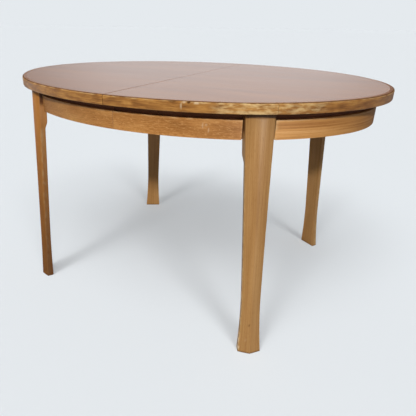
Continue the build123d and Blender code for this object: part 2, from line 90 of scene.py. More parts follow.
def add(tree, kind, settings=None, inputs=None):
    """Adds a node, a shader one unless its kind says Node, and returns its outputs.

    An input that is a socket is linked, and any other is set.
    """
    made = tree.nodes.new(kind if "Node" in kind else f"ShaderNode{kind}")
    for name, value in (settings or {}).items():
        setattr(made, name, value)
    for name, value in (inputs or {}).items():
        if isinstance(value, bpy.types.NodeSocket):
            tree.links.new(value, made.inputs[name])
        else:
            made.inputs[name].default_value = value
    return made.outputs


def new_material(name):
    material = bpy.data.materials.new(name)
    material.use_nodes = True
    material.node_tree.nodes.clear()
    return material, material.node_tree


def close_material(tree, surface, relief, strength, depth):
    """Presses the relief into the surface and gives it to the output."""
    bump = add(tree, "Bump", None, {"Height": relief, "Strength": strength, "Distance": depth})
    shader = add(tree, "BsdfPrincipled", None, {**surface, "Normal": bump["Normal"]})
    add(tree, "OutputMaterial", None, {"Surface": shader["BSDF"]})


print("white is", linear("#FFFFFF"))

# %% [markdown]
# ## Wood
# All the wood here was planed, some was stained, and most has a lacquer on it. To the eye wood is layers:
# broad changes of tone along a board, fine grain lines, short dark pores and, on the apron, pale flecks.
# A picture of a board would stretch and repeat. So each layer is a noise drawn out along the grain, whose
# length and width are real ones in millimetres. Shaped pieces carry a UV map in metres that follows the
# grain; flat boards read Object coordinates.

# %% The noises of a wood

COLOURS = {"data_type": "RGBA"}
NUMBERS = {"data_type": "FLOAT"}
BOARD_TURN = {"x": 0.0, "y": math.radians(-90)}
NOISE_INPUTS = ("Detail", "Roughness", "Distortion")
NOISE_CHARACTER = {
    "tone": (2, 0.5, 0.4),
    "lines": (4, 0.62, 0.35),
    "pores": (2, 0.5, 0.1),
    "flecks": (3, 0.6, 0.8),
    "patches": (3, 0.6, 0.2),
}


def grain_noises(tree, grain, sizes):
    """A noise for each layer. grain is "uv", or the axis that a flat board's grain runs along."""
    if grain == "uv":
        place = add(tree, "UVMap", {"uv_map": "grain"})["UV"]
    else:
        place = add(tree, "TexCoord")["Object"]
        turn = {"Vector": place, "Rotation": (0, 0, BOARD_TURN[grain])}
        place = add(tree, "Mapping", None, turn)["Vector"]
    noises = {}
    for layer, (length, width) in sizes.items():
        scale = (1 / (length * MM), 1 / (width * MM), 1 / (width * MM))
        spot = add(tree, "Mapping", None, {"Vector": place, "Scale": scale})["Vector"]
        values = {"Vector": spot, "Scale": 1.0, **dict(zip(NOISE_INPUTS, NOISE_CHARACTER[layer]))}
        noises[layer] = add(tree, "TexNoise", None, values)["Fac"]
    return noises


print("layers of grain:", ", ".join(NOISE_CHARACTER))

# %% Colour the grain

LINE_SHARE = 0.5
SPREAD = 0.16


def grain_colour(tree, noises, tones, looks):
    """Tone and lines together make the figure, which picks a colour from dark to light."""
    parts = {0: looks.get("line_share", LINE_SHARE), 2: noises["tone"], 3: noises["lines"]}
    figure = add(tree, "Mix", NUMBERS, parts)[0]
    colour = add(tree, "ValToRGB", None, {"Fac": figure})["Color"]
    spread = looks.get("spread", SPREAD)
    stops = colour.node.color_ramp.elements
    stops.new(0.5)
    for stop, place, tone in zip(stops, (0.5 - spread, 0.5, 0.5 + spread), tones):
        stop.position = place
        stop.color = linear(tone)
    return figure, colour


print("lines make", LINE_SHARE, "of the figure")

# %% [markdown]
# Use leaves bare arrises, pale scuffs, dark stains, and dirt in the seam, most of it at the front. The same
# masks also carry painted shade, a painted highlight and a painted dark reflection. They could be painted by
# hand, but then they would not follow a change of shape. Here the points of a piece say where a mark lies,
# and the material paints it.

# %% Find where each coat over the grain shows

LIMITS = ("Value", "From Min", "From Max", "To Min", "To Max")
PORE_STRENGTH = 0.3
SEAM_FRONT, SEAM_MIDDLE = -450 * MM, 0.0


def coat_masks(tree, noises, looks):
    limits = {"pores": (noises["pores"], 0.56, 0.72, 0.0, looks.get("pore_strength", PORE_STRENGTH))}
    marks = ["scuff", "stain_and_shade"]
    if "flecks" in noises:
        limits["pale flecks"] = (noises["flecks"], 0.54, 0.66, 0.0, looks["fleck_strength"])
        limits["deep flecks"] = (noises["flecks"], 0.45, 0.34, 0.0, looks["fleck_strength"])
    if "top_colour" in looks:
        marks.append("upper")
    if "worn" in looks:
        marks.append("wear_and_highlight")
        limits["patches"] = (noises["patches"], 0.42, 0.64, 0.05, 0.8)
    if "seam" in looks:
        place = add(tree, "TexCoord")["Object"]
        place = add(tree, "SeparateXYZ", None, {0: place})
        away = add(tree, "Math", {"operation": "ABSOLUTE"}, {0: place["X"]})[0]
        limits["seam"] = (away, looks["seam"] / 2, looks["seam"], 1.0, 0.0)
        limits["dirt"] = (place["Y"], SEAM_FRONT, SEAM_MIDDLE, 0.52, 0.1)
    if "plain_below" in looks:
        facing = add(tree, "TexCoord")["Normal"]
        facing = add(tree, "SeparateXYZ", None, {0: facing})["Z"]
        limits["below"] = (facing, -0.5, -0.6, 0.0, 1.0)
    masks = {}
    for coat, values in limits.items():
        masks[coat] = add(tree, "MapRange", None, dict(zip(LIMITS, values)))["Result"]
    for mark in marks:
        masks[mark] = add(tree, "Attribute", {"attribute_name": mark})["Fac"]
    for coat, broken_by in (("wear_and_highlight", "patches"), ("seam", "dirt")):
        if coat in masks:
            pair = {0: masks[coat], 1: masks[broken_by]}
            masks[coat] = add(tree, "Math", {"operation": "MULTIPLY"}, pair)[0]
    return masks


print("the seam's dirt fades over", SEAM_MIDDLE - SEAM_FRONT, "m")

# %% Put a wood together

# This dark colour paints real stains and seam dirt, and also painted shade on the strips and legs.
STAIN_AND_SHADE, SCUFF = "#3E1A04", "#DCC6A2"
PLAIN_VENEER = ("#A98058", "#C9A47A")
GRAIN_SIZE = {"tone": (260, 45), "lines": (150, 3.2), "pores": (14, 0.9)}
WEAR_PATCH = (28, 9)
GRAIN_DEPTH = 0.4 * MM
MARK_ROUGHNESS = {"below": 0.65, "upper": 0.24, "stain_and_shade": 0.9, "seam": 0.9}


def wood(name, tones, grain, **looks):
    material, tree = new_material(name)
    sizes = {**GRAIN_SIZE, **looks.get("sizes", {})}
    if "worn" in looks:
        sizes["patches"] = WEAR_PATCH
    noises = grain_noises(tree, grain, sizes)
    figure, colour = grain_colour(tree, noises, tones, looks)
    masks = coat_masks(tree, noises, looks)
    tints = {"pores": tones[0], "pale flecks": looks.get("fleck_colour"), "deep flecks": tones[0]}
    tints.update({"upper": looks.get("top_colour"), "wear_and_highlight": looks.get("worn"), "scuff": SCUFF})
    tints.update({"stain_and_shade": STAIN_AND_SHADE, "seam": STAIN_AND_SHADE})
    for coat, tint in tints.items():
        if coat in masks:
            settings = {**COLOURS, "blend_type": "MULTIPLY" if coat == "pores" else "MIX"}
            paint = {0: masks[coat], 6: colour, 7: linear(tint)}
            colour = add(tree, "Mix", settings, paint)[2]
    if "below" in masks:
        paint = {0: figure, 6: linear(PLAIN_VENEER[0]), 7: linear(PLAIN_VENEER[1])}
        plain = add(tree, "Mix", COLOURS, paint)[2]
        paint = {0: masks["below"], 6: colour, 7: plain}
        colour = add(tree, "Mix", COLOURS, paint)[2]
    limits = dict(zip(LIMITS, (noises["lines"], 0.3, 0.7, *looks["roughness"])))
    rough = add(tree, "MapRange", None, limits)["Result"]
    for mark, roughness in MARK_ROUGHNESS.items():
        if mark in masks:
            change = {0: masks[mark], 2: rough, 3: roughness}
            rough = add(tree, "Mix", NUMBERS, change)[0]
    relief = {0: noises["pores"], 1: -0.6, 2: noises["lines"]}
    relief = add(tree, "Math", {"operation": "MULTIPLY_ADD"}, relief)[0]
    surface = {"Base Color": colour, "Roughness": rough, "IOR": looks.get("ior", 1.45)}
    surface["Specular IOR Level"] = looks.get("specular", 0.5)
    close_material(tree, surface, relief, looks.get("bump", 0.12), GRAIN_DEPTH)
    return material


print("marks that change the gloss:", ", ".join(MARK_ROUGHNESS))

# %% [markdown]
# ## The finishes
# The top is a lacquered veneer that mirrors the pale room at a low angle. The lipping round it is solid
# wood, golden and blotchy, with lacquer rubbed off its arris. The apron has flecked grain and the legs fine
# straight grain. The rail behind the shadow gap is a dull dark brown, and what is hidden is bare beech.
# One wood for all would be quicker, but these were not cut from one board, and it shows.

# %% Make the finishes

TEAK = ("#6F4326", "#8E5C38", "#9E6B42")
BARE_BEECH = ("#AE8357", "#C79D70", "#D8B488")
SEAM_WIDTH = 2.4 * MM
VENEER = {"sizes": {"tone": (520, 60), "lines": (420, 5.2)}, "spread": 0.25, "roughness": (0.21, 0.25)}
VENEER.update({"ior": 1.5, "bump": 0.01, "plain_below": True})
BEECH = {"sizes": {"lines": (240, 4), "flecks": (4, 0.9)}, "roughness": (0.6, 0.75), "specular": 0.3}
BEECH.update({"fleck_strength": 0.3, "fleck_colour": "#B88B5C"})
LEG_GRAIN = {"sizes": {"tone": (420, 38), "lines": (210, 2.4)}, "spread": 0.22, "worn": "#D2B07A"}
LEG_GRAIN.update({"roughness": (0.36, 0.48), "specular": 0.15})

finishes = {
    # Quiet bands under a thin gloss: brown from above, pale as the room at a low angle.
    "veneered_top": wood("lacquered_teak_veneer", TEAK, "x", seam=SEAM_WIDTH, **VENEER),
    "crosswise_veneer": wood("lacquered_teak_veneer_crosswise", TEAK, "y", **VENEER),
    # Short blotches of gold and brown with deep pores, and pale bare wood along the arris; its pale colour
    # also paints a highlight near the right front corner.
    "solid_lipping": wood(
        "lacquered_oak_lipping", ("#663C17", "#96652F", "#C08C49"), "uv", spread=0.17, line_share=0.45,
        sizes={"tone": (55, 20), "lines": (60, 2.6)}, pore_strength=0.6, worn="#DDBF88", top_colour="#8A5A36",
        roughness=(0.3, 0.45), bump=0.2, specular=0.3,
    ),
    # A lively surface of pale and dark flecks a few millimetres wide.
    "apron_wood": wood(
        "lacquered_flecked_beech", ("#8D5A27", "#B47B40", "#C99353"), "uv", line_share=0.4,
        sizes={"tone": (180, 60), "lines": (60, 3.0), "flecks": (11, 3.2)}, fleck_strength=0.55,
        fleck_colour="#D29E61", worn="#DDB682", roughness=(0.36, 0.5), specular=0.22,
    ),
    # Long level lines, as on a board cut with the grain.
    "straight_apron": wood(
        "lacquered_straight_beech", ("#AC743A", "#CD9351", "#DDA96A"), "uv", spread=0.15, line_share=0.7,
        sizes={"tone": (420, 30), "lines": (380, 5.5)}, worn="#D8B582", roughness=(0.36, 0.5), specular=0.12,
    ),
    # Fine upright lines under a satin lacquer. The front left and back left legs have woods of their own
    # tone.
    "leg_wood": wood("lacquered_beech", ("#895E2E", "#A47947", "#B68D5A"), "uv", **LEG_GRAIN),
    "darker_leg": wood("lacquered_darker_beech", ("#9C6226", "#BC7D3B", "#CE924C"), "uv", **LEG_GRAIN),
    "paler_leg": wood("lacquered_paler_beech", ("#9A6A34", "#B98850", "#CD9F65"), "uv", **LEG_GRAIN),
    # Dull and dark, so that the gap under the top reads as one deep line.
    "dark_rail": wood(
        "dull_dark_beech", ("#5A3624", "#744A33", "#8A5C42"), "uv", sizes={"lines": (150, 2.0)},
        roughness=(0.6, 0.75), specular=0.2,
    ),
    # Pale, dry and flecked, with no shine.
    "beech": wood("planed_beech", BARE_BEECH, "x", **BEECH),
    "crosswise_beech": wood("planed_beech_crosswise", BARE_BEECH, "y", **BEECH),
}
print("woods:", ", ".join(finish.name for finish in finishes.values()))

# %% [markdown]
# Plated steel and brass are metals: the colour is in the reflection, and the surface was tumbled or brushed.
# A single grey would look like plastic, so faint stains come from a noise a few millimetres across, and fine
# scratches from a much finer one.

# %% Make the metals

STAIN_WIDTH = 6 * MM
SCRATCH_WIDTH, SCRATCH_DEPTH = 0.8 * MM, 0.1 * MM


def metal(name, bright, dull, roughness):
    material, tree = new_material(name)
    place = add(tree, "TexCoord")["Object"]
    cloud = {"Vector": place, "Scale": 1 / STAIN_WIDTH, "Detail": 4.0}
    stains = add(tree, "TexNoise", None, cloud)["Fac"]
    fine = {"Vector": place, "Scale": 1 / SCRATCH_WIDTH, "Detail": 2.0}
    scratches = add(tree, "TexNoise", None, fine)["Fac"]
    paint = {0: stains, 6: linear(dull), 7: linear(bright)}
    colour = add(tree, "Mix", COLOURS, paint)[2]
    limits = {"Value": stains, "To Min": roughness - 0.08, "To Max": roughness + 0.12}
    rough = add(tree, "MapRange", None, limits)["Result"]
    surface = {"Base Color": colour, "Metallic": 1.0, "Roughness": rough}
    close_material(tree, surface, scratches, 0.08, SCRATCH_DEPTH)
    return material


# Cool and a little cloudy, and warm and softly bright.
finishes["steel"] = metal("zinc_plated_steel", "#B9BCC0", "#85888C", 0.34)
finishes["brass"] = metal("plain_brass", "#C9A25A", "#8F6E34", 0.32)
print("metals:", finishes["steel"].name, finishes["brass"].name)

# %% [markdown]
# ## The oval
# The rim is drawn with tangent arcs: one round each end, one along each side, and a shoulder between them.
# An ellipse would be shorter to write, but a strip set in from it is no ellipse, while arcs stay arcs.
# A place on the table is told by the direction that the rim faces there and by how far inside it lies.

# %% Places on the oval

half_length = cad_box[1].x
half_width = cad_box[1].y
end_radius = half_width**2 / half_length
side_radius = half_length**2 / half_width
shoulder_radius = math.sqrt(half_length * half_width)
end_centre = Vector((half_length - end_radius, 0))
side_centre = Vector((0, half_width - side_radius))


def shoulder_arc_centre():
    chord = side_centre - end_centre
    from_end = shoulder_radius - end_radius
    from_side = side_radius - shoulder_radius
    along = (from_end**2 - from_side**2 + chord.length_squared) / (2 * chord.length)
    aside = math.sqrt(from_end**2 - along**2)
    onward = chord.normalized()
    return end_centre + onward * along + Vector((onward.y, -onward.x)) * aside


shoulder_centre = shoulder_arc_centre()
to_end = end_centre - shoulder_centre
to_side = shoulder_centre - side_centre
oval_arcs = [
    (end_centre, end_radius, math.atan2(to_end.y, to_end.x)),
    (shoulder_centre, shoulder_radius, math.atan2(to_side.y, to_side.x)),
    (side_centre, side_radius, math.pi),
]


def oval_point(inset, direction):
    outward = Vector((math.cos(direction), math.sin(direction)))
    steepness = math.atan2(abs(outward.y), abs(outward.x))
    centre, radius, _ = next(arc for arc in oval_arcs if steepness <= arc[2])
    corner = Vector((math.copysign(centre.x, outward.x), math.copysign(1, outward.y) * centre.y))
    return corner + outward * (radius - inset)


def oval_place(point):
    """The direction and the inset of a point. Directions on the left half run on past half a turn."""
    for centre, radius, arc_end in oval_arcs:
        away = Vector((abs(point.x), abs(point.y))) - centre
        steepness = math.atan2(away.y, away.x)
        if steepness <= arc_end:
            break
    across = math.copysign(math.sin(steepness), point.y)
    direction = math.atan2(across, math.copysign(math.cos(steepness), point.x))
    if point.x < 0:
        direction %= 2 * math.pi
    return direction, radius - away.length


print("arcs of radius", [round(arc[1], 4) for arc in oval_arcs])

# %% [markdown]
# ## From rings to a piece
# A bent strip and a leg are both a row of rings, joined by faces and closed at the two ends.
# A curve with a bevel gives such a shape too, but no marks on its points. The UV map runs along the rows in
# metres, so that the grain follows the piece, and each piece starts further along it, so no two are alike.

# %% Build a piece from rings

GRAIN_SKIP = 0.37
SHARP_EDGE = math.radians(40)
grain_start = 0.0


def in_scene(name, data):
    made = bpy.data.objects.new(name, data)
    bpy.context.scene.collection.objects.link(made)
    return made


def piece_from_rings(node, rings, marks, finish=None):
    global grain_start
    count = len(rings[0])
    points = [point for ring in rings for point in ring]
    middles = [sum(ring, Vector()) / count for ring in rings]
    along = [grain_start]
    for before, after in zip(middles, middles[1:]):
        along.append(along[-1] + (after - before).length)
    grain_start = along[-1] + GRAIN_SKIP
    girth_ring = rings[len(rings) // 2]
    around = [0.0]
    for column in range(count):
        around.append(around[-1] + (girth_ring[(column + 1) % count] - girth_ring[column]).length)
    faces = []
    places = []
    for row, (near, far) in enumerate(zip(along, along[1:])):
        here, beyond = row * count, (row + 1) * count
        for column, (low, high) in enumerate(zip(around, around[1:])):
            after = (column + 1) % count
            faces.append([here + column, here + after, beyond + after, beyond + column])
            places.append([(near, low), (near, high), (far, high), (far, low)])
    for row in (0, len(rings) - 1):
        faces.append([row * count + column for column in range(count)])
        places.append([(along[row], around[column]) for column in range(count)])
    mesh = bpy.data.meshes.new(f"{node}_finished")
    mesh.from_pydata(points, [], faces)
    grain = mesh.uv_layers.new(name="grain")
    for face, corner_places in zip(mesh.polygons, places):
        for loop, place in zip(face.loop_indices, corner_places):
            grain.data[loop].uv = place
    for name, values in marks.items():
        mesh.attributes.new(name, "FLOAT", "POINT").data.foreach_set("value", values)
    shell = bmesh.new()
    shell.from_mesh(mesh)
    bmesh.ops.recalc_face_normals(shell, faces=shell.faces)
    shell.to_mesh(mesh)
    shell.free()
    mesh.polygons.foreach_set("use_smooth", [True] * len(mesh.polygons))
    mesh.set_sharp_from_angle(angle=SHARP_EDGE)
    piece = in_scene(mesh.name, mesh)
    piece.data.materials.append(finish or finishes[slot_of[node]])
    piece.modifiers.new("even_faces", "WEIGHTED_NORMAL").keep_sharp = True
    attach(piece, body_of[node])
    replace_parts(piece, node)
    return piece


print("sharp from", round(math.degrees(SHARP_EDGE)), "degrees")

# %% [markdown]
# ## Bent strips
# Lippings, aprons and rails are strips bent round the oval. Their nodes are made of flats, and smoothing
# those would bend the ends, so each is swept anew. It takes its length, thickness and height from its own
# node, whose ends are flat cuts: every line of the section starts and stops at its own direction.

# %% Read a strip's reach from its node

ROUNDING_STEP = 0.7 * MM
FACE_TOLERANCE = 0.3 * MM


def strip_reach(node):
    vertices = [vertex.co for vertex in frame["nodes"][node].data.vertices]
    places = [oval_place(point) for point in vertices]
    insets = [inset for _, inset in places]
    outer, inner = max(0.0, min(insets)), max(insets)
    outer_turns = [turn for turn, inset in places if inset < outer + FACE_TOLERANCE]
    inner_turns = [turn for turn, inset in places if inset > inner - FACE_TOLERANCE]
    heights = [point.z for point in vertices]
    ends = (min(outer_turns), max(outer_turns), min(inner_turns), max(inner_turns))
    return outer, inner, min(heights), max(heights), ends


def eased_rectangle(outer, inner, low, high, easings, face_step):
    """A closed section of (inset, height) points. Easings are the radii of the four corners."""
    corners = [
        (outer, low, 1, 1, math.radians(270)),
        (outer, high, 1, -1, math.radians(180)),
        (inner, high, -1, -1, math.radians(90)),
        (inner, low, -1, 1, math.radians(0)),
    ]
    section = []
    for (inset, height, inwards, upwards, start), easing in zip(corners, easings):
        steps = max(2, round(easing / ROUNDING_STEP))
        for step in range(steps + 1):
            turn = start - math.radians(90) * step / steps
            middle = (inset + inwards * easing, height + upwards * easing)
            section.append((middle[0] + easing * math.cos(turn), middle[1] + easing * math.sin(turn)))
    divided = []
    for here, after in zip(section, section[1:] + section[:1]):
        pieces = max(1, round(math.dist(here, after) / face_step))
        for step in range(pieces):
            share = step / pieces
            divided.append((here[0] + (after[0] - here[0]) * share, here[1] + (after[1] - here[1]) * share))
    return divided


print("a lipping's insets", strip_reach("left_front_lipping")[:2])

# %% [markdown]
# Years of use leave small dents along the upper arris of the rim, and scuffed and smudged places on its face.
# Near the right front corner a painted highlight lies over the rubbed arris. A dent could be a bump in the
# material, but then the rim's outline would stay perfect, so dents move points. The rest are masks that the
# material paints, and one of them is a painted dark line along the upper rounding.

# %% Mark a strip

SPOT_EDGE = 1.6
ARRIS_REACH = 5 * MM
LOWER_REACH = 2.5 * MM
FACE_DEPTH = 4 * MM
BARE_END = 6 * MM
# Where the painted dark reflection line lies on the rim's upper rounding.
REFLECTION_LINE_DROP, REFLECTION_LINE_START, REFLECTION_LINE_STOP = 1.6 * MM, 1.2 * MM, 5 * MM


def spots(placed, aside, height):
    """How strongly the nearest of some marks shows at a place, in millimetres."""
    shown = 0.0
    for (mark_aside, mark_height), (half_aside, half_height), strength in placed:
        away = math.hypot((aside - mark_aside) / half_aside, (height - mark_height) / half_height)
        shown = max(shown, strength * min(1.0, SPOT_EDGE * max(0.0, 1 - away**2)))
    return shown


def even_tone(share):
    return 0.0


PLAIN_STRIP = {"finish": None, "dents": 0, "placed": {}, "bare_ends": False, "painted_shade": even_tone}


def strip_marks(style, x, height, share, from_end, arris, inward, down, up):
    """The four marks at a spot, which lies so far inward, down and up from the strip's faces."""
    is_rim = style["dents"] > 0
    on_face = inward < FACE_DEPTH
    shown = {"rubs_and_highlight": 0.0, "scuffs": 0.0, "smudges": 0.0}
    for kind, placed in style["placed"].items():
        shown[kind] = on_face * spots(placed, x / MM, height / MM)
    bare = 0.0
    if style["bare_ends"] and abs(x) > 10 * MM:
        bare = 0.9 * max(0.0, 1 - from_end / BARE_END)
    lower_arris = 0.25 * max(0.0, 1 - math.hypot(inward, up) / LOWER_REACH)
    # A painted dark line on the rim's upper rounding stands in for its darker reflection there.
    painted_reflection_line = is_rim and down < REFLECTION_LINE_DROP and REFLECTION_LINE_START < inward < REFLECTION_LINE_STOP
    dark_end = 0.0
    if from_end == 0.0:
        at_seam = abs(x) < 2 * MM
        dark_end = (0.95 if is_rim else 0.25) if at_seam else 0.45 * (not style["bare_ends"])
    # The pale placed marks near the right front corner are a painted highlight mixed with real wear.
    return {
        "wear_and_highlight": max(arris, lower_arris, bare, shown["rubs_and_highlight"]),
        "scuff": shown["scuffs"],
        "upper": float(down < 0.4 * MM and inward > FACE_DEPTH),
        "stain_and_shade": max(0.8 * painted_reflection_line, dark_end, style["painted_shade"](share), shown["smudges"]),
    }


print("wear reaches", ARRIS_REACH, "m from an arris")

# %% Bend a strip

END_EASE = 0.6 * MM
ARC_OVER_CHORD = 1.08
DENT_DEPTHS, DENT_WIDTHS = (0.25 * MM, 0.8 * MM), (1.5 * MM, 5 * MM)


def strip_dents(node, count, length):
    """Place along the strip, depth, and half width of each dent."""
    rng = random.Random(node)
    dents = []
    for _ in range(count):
        dents.append((rng.random(), rng.uniform(*DENT_DEPTHS), rng.uniform(*DENT_WIDTHS) / length))
    return dents


def bend_strip(node, easings, spacing, face_step, **style):
    style = {**PLAIN_STRIP, **style}
    outer, inner, low, high, ends = strip_reach(node)
    section = eased_rectangle(outer, inner, low, high, easings, face_step)
    length = (oval_point(outer, ends[0]) - oval_point(outer, ends[1])).length * ARC_OVER_CHORD
    count = max(8, round(length / spacing))
    ease_share = END_EASE / length
    shares = [0.0, ease_share] + [step / count for step in range(1, count)] + [1 - ease_share, 1.0]
    dents = strip_dents(node, style["dents"], length)
    rings = []
    marks = {name: [] for name in ("wear_and_highlight", "scuff", "upper", "stain_and_shade")}
    for share in shares:
        from_end = min(share, 1 - share) * length
        near = [dent for dent in dents if abs(share - dent[0]) < 2 * dent[2]]
        bite = sum(deep * math.exp(-(((share - at) / half) ** 2)) for at, deep, half in near)
        ring = []
        for inset, height in section:
            if from_end == 0.0:
                inset = min(max(inset, outer + END_EASE), inner - END_EASE)
                height = min(max(height, low + END_EASE), high - END_EASE)
            depth = (inset - outer) / (inner - outer)
            start = ends[0] + (ends[2] - ends[0]) * depth
            stop = ends[1] + (ends[3] - ends[1]) * depth
            arris = max(0.0, 1 - math.hypot(inset - outer, high - height) / ARRIS_REACH)
            inset += bite * arris
            height -= bite * arris
            flat = oval_point(inset, start + (stop - start) * share)
            ring.append(Vector((flat.x, flat.y, height)))
            spot = {"x": flat.x, "height": height, "share": share, "from_end": from_end, "arris": arris}
            spot.update({"inward": inset - outer, "down": high - height, "up": height - low})
            for name, value in strip_marks(style, **spot).items():
                marks[name].append(value)
        rings.append(ring)
    return piece_from_rings(node, rings, marks, style["finish"])


print("strip ends are eased by", END_EASE / MM, "mm")

# %% [markdown]
# The rim's lipping has a large round upper arris and a small lower one. Each mark is placed by its distance
# from the seam and its height, with half its width, half its height and its strength. End lengths get painted
# shade, darkest at their middle, and the left front ones at their left end, as in the photograph.

# %% Bend the lippings, aprons and rails

# The radii of a section's corners, the spacing of its rings, the step across its faces, and its style.
STRIP_KINDS = {
    "lipping": ((1.5 * MM, 5 * MM, 0.2 * MM, 0.2 * MM), 2 * MM, 3 * MM, {"dents": 26}),
    "apron": ((0.8 * MM,) * 4, 2.5 * MM, 2.5 * MM, {"bare_ends": True}),
    "rail": ((0.8 * MM,) * 4, 6 * MM, 14 * MM, {}),
}
# Pale marks near the right front corner of the rim: a painted highlight laid over real wear.
rim_wear_and_highlight = [((335, 732), (120, 3), 1.0), ((360, 710), (90, 4), 0.8), ((370, 721), (95, 22), 0.85)]
rim_scuffs = [((215, 723), (1.6, 11), 0.5), ((251, 731), (7, 3), 0.6), ((222, 732), (5, 2.5), 0.5)]
rim_smudges = [((233, 732), (5, 3), 0.85), ((193, 732), (11, 2.5), 0.55)]
end_rim_wear_and_highlight = [((450, 722), (80, 20), 0.75)]
apron_scuffs = [((250, 670), (2.2, 8), 0.4), ((258, 672), (3.5, 2.5), 0.35), ((264, 659), (1.6, 7), 0.4)]
placed_marks = {
    "right_front_lipping": {"rubs_and_highlight": rim_wear_and_highlight, "scuffs": rim_scuffs, "smudges": rim_smudges},
    "right_end_lipping": {"rubs_and_highlight": end_rim_wear_and_highlight},
    "right_front_apron": {"scuffs": apron_scuffs},
}
# Painted shade along some lengths: the end lengths darken towards their middle, the left front ones towards
# their left end.
tones = {
    "end_lipping": lambda share: 0.45 * (1 - abs(2 * share - 1)),
    "end_apron": lambda share: 0.62 * (1 - abs(2 * share - 1)),
    "left_front_lipping": lambda share: 0.3 * max(0.0, 1 - 4 * share),
    "left_front_apron": lambda share: 0.22 * (1 - share) ** 0.7,
}
strips = []
for side in ("left", "right"):
    for stretch in ("front", "end", "back"):
        for kind, (easings, spacing, face_step, kind_style) in STRIP_KINDS.items():
            node = f"{side}_{stretch}_{kind}"
            style = {**kind_style, "placed": placed_marks.get(node, {})}
            style["painted_shade"] = tones.get(node, tones.get(f"{stretch}_{kind}", even_tone))
            if (stretch, kind) == ("end", "apron"):
                style["finish"] = finishes["straight_apron"]
            strips.append(bend_strip(node, easings, spacing, face_step, **style))
print(len(strips), "bent strips,", sum(len(piece.data.polygons) for piece in strips), "faces")

# %% [markdown]
# ## Legs
# Each leg leans outwards. Its section has a flat inner face, two side faces and an outer face that is two
# facets at the foot and one round crown at the top. The width flares at the foot and at the top, a knee
# thickens the inner side below the rail, and at the rail the leg is cut back to sit over it. A box could be
# pulled to this shape by hand. A loft of sections follows the construction's own rule and rounds each arris.

# %% The leg's sizes in millimetres, as in the construction

LEG_DIRECTION = math.radians(58.38)
LEG_SETBACK = 33.7
LEG_LEAN = Vector((0.0575, 0.040))
FOOT_WIDTH, ANKLE_WIDTH, TOP_WIDTH = 68.0, 54.0, 74.0
ANKLE_HEIGHT = 170.0
RIDGE = 11.5
OUTER_DEPTH, INNER_DEPTH = 17.5, 11.5
FOOT_FLARE = 2.0
KNEE_DEPTH, KNEE_SIDE, KNEE_DROP, KNEE_RUN = 6.0, 3.8, 35.0, 28.0
LEAST_BOW = 0.25
FOOT_CURVE, SHANK_CURVE = 1.75, 1.25
RAIL_FRONT = 48.0

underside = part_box("right_top_panel")[0].z / MM
rail_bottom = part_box("right_end_rail")[0].z / MM
rail_middle = (underside + rail_bottom) / 2
knee_top = rail_bottom - KNEE_DROP
knee_bottom = knee_top - KNEE_RUN
leg_outward = Vector((math.cos(LEG_DIRECTION), math.sin(LEG_DIRECTION)))
leg_across = Vector((-leg_outward.y, leg_outward.x))


def leg_middle(height):
    return oval_point(LEG_SETBACK * MM, LEG_DIRECTION) / MM + LEG_LEAN * (rail_middle - height)


def smooth_step(value):
    value = min(1.0, max(0.0, value))
    return value * value * (3 - 2 * value)


moved = leg_middle(0) - leg_middle(underside)
print("a leg leans out by", round(moved.length, 1), "mm")

# %% Draw a leg's section

FACET_SHARES = (0.0, 0.15, 0.3, 0.45, 0.6, 0.75, 0.88, 0.965)
INNER_SHARES = [step / 4 - 1 for step in range(1, 8)]
SIDE_BAND = 4.0  # the part of a side face next to the facet
ARRIS_RADIUS = 1.3


def leg_outline(height, at_rail):
    """Points (aside, outward) of the section, without rounding, and where in the list its corners are."""
    foot = max(0.0, 1 - height / ANKLE_HEIGHT) ** FOOT_CURVE
    shank = (max(0.0, height - ANKLE_HEIGHT) / (underside - ANKLE_HEIGHT)) ** SHANK_CURVE
    knee = smooth_step((height - knee_bottom) / KNEE_RUN)
    half = (ANKLE_WIDTH + (FOOT_WIDTH - ANKLE_WIDTH) * foot + (TOP_WIDTH - ANKLE_WIDTH) * shank) / 2
    ridge = OUTER_DEPTH + FOOT_FLARE * foot
    edge = -INNER_DEPTH - FOOT_FLARE * foot - KNEE_DEPTH * knee
    corner = ridge - RIDGE
    facet_half = math.hypot(half, RIDGE) / 2
    crown = 2 * facet_half**2 / RIDGE
    full_bow = crown - math.sqrt(crown**2 - facet_half**2)
    bow = LEAST_BOW + (full_bow - LEAST_BOW) * height / underside
    lean = math.atan2(RIDGE, half)
    facet = []
    for share in FACET_SHARES:
        rise = bow * 4 * share * (1 - share)
        aside = half * (1 - share) + rise * math.sin(lean)
        facet.append((aside, corner + RIDGE * share + rise * math.cos(lean)))
    heel = half + KNEE_SIDE * knee
    inner_line = [(heel * share, edge) for share in INNER_SHARES]
    if at_rail:
        to_rail = oval_point(RAIL_FRONT * MM, LEG_DIRECTION) / MM - leg_middle(height)
        bend = shoulder_radius / MM - RAIL_FRONT
        deepest = to_rail.dot(leg_outward) - bend
        inner_line = [(aside, deepest + math.sqrt(bend**2 - aside**2)) for aside, _ in inner_line]
        edge = deepest + math.sqrt(bend**2 - heel**2)
    band = half + (heel - half) * SIDE_BAND / (corner - edge)
    right_side = [(heel, edge), (band, corner - SIDE_BAND)] + facet
    left_side = [(-aside, outward) for aside, outward in reversed(right_side)]
    outline = inner_line + right_side + [(0.0, ridge)] + left_side
    heel_corner = len(inner_line)
    facet_corner = heel_corner + 2
    return outline, {heel_corner, facet_corner, len(outline) - 1, len(outline) - 3}


